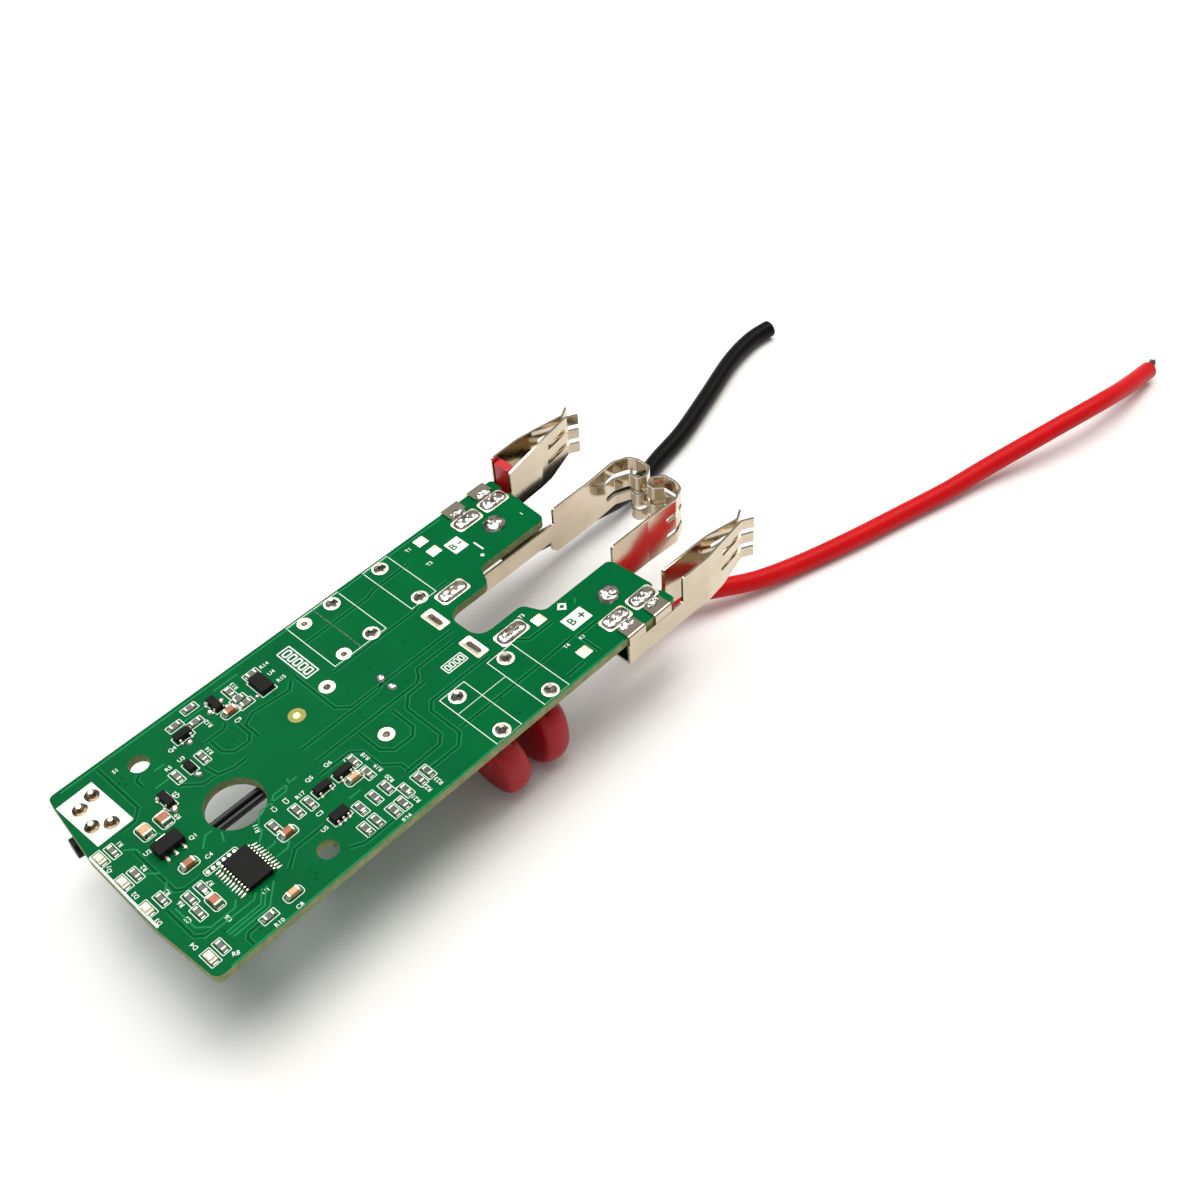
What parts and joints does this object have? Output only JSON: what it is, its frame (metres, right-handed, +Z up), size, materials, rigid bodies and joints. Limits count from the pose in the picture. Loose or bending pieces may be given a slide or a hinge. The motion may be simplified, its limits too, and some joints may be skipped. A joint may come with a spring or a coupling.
{
  "type": "battery management board",
  "caption": "Long green circuit board with bowed edge, stepped slot, spring contacts, dipped capacitors below and two thick wires.",
  "frame": {"origin": "middle of the object without its wires, on the surface that the capacitors stand on", "axes": "+X from the switch end to the contact end, +Y to the left edge, +Z up out of the component side"},
  "size_m": [0.2176, 0.0712, 0.0237],
  "materials": {
    "board_mask": "satin solder mask on glass epoxy",
    "contact_plate": "bright nickel plate",
    "spacer_red": "moulded",
    "dip_epoxy": "dipped epoxy, slightly rough",
    "tinned_wire": "tinned",
    "switch_black": "moulded",
    "frame_steel": "tin plated",
    "plunger_black": "moulded",
    "chip_black": "moulded epoxy",
    "resistor_dark": "glazed ceramic",
    "ceramic_tan": "fired ceramic",
    "led_cream": "moulded, translucent",
    "silicone_red": "silicone",
    "silicone_black": "silicone",
    "solder": "reflowed",
    "lead_black": "PVC",
    "bead_dark": "dipped resin"
  },
  "bodies": {
    "board_body": {"board": "board_mask", "contact_outer_left": "contact_plate", "contact_outer_right": "contact_plate", "contact_middle_left": "contact_plate", "contact_middle_right": "contact_plate", "throat_spacer": "spacer_red", "capacitor_right_far": "dip_epoxy", "capacitor_right_near": "dip_epoxy", "capacitor_left_far": "dip_epoxy", "capacitor_left_near": "dip_epoxy", "capacitor_legs": "tinned_wire", "switch_housing": "switch_black", "switch_frame": "frame_steel", "switch_pins": "tinned_wire", "controller_body": "chip_black", "controller_leads": "tinned_wire", "regulator_body": "chip_black", "regulator_leads": "tinned_wire", "transistor_bodies": "chip_black", "transistor_leads": "tinned_wire", "chip_resistors": "resistor_dark", "chip_capacitors": "ceramic_tan", "chip_end_caps": "solder", "status_leds": "led_cream", "wire_red": "silicone_red", "wire_black": "silicone_black", "wire_red_end": "tinned_wire", "wire_solder": "solder", "leg_solder": "solder", "contact_solder": "solder", "sense_leads": "lead_black", "sensor_bead": "bead_dark", "sense_solder": "solder"},
    "plunger": {"switch_plunger": "plunger_black"}
  },
  "joints": [
    {"name": "plunger_press", "type": "slide", "parent": "board_body", "child": "plunger", "axis": [0.9903, -0.1392, 0], "range_m": [0, 0.0003], "stiffness_N_per_m": 1500, "springref_m": -0.0006}
  ]
}
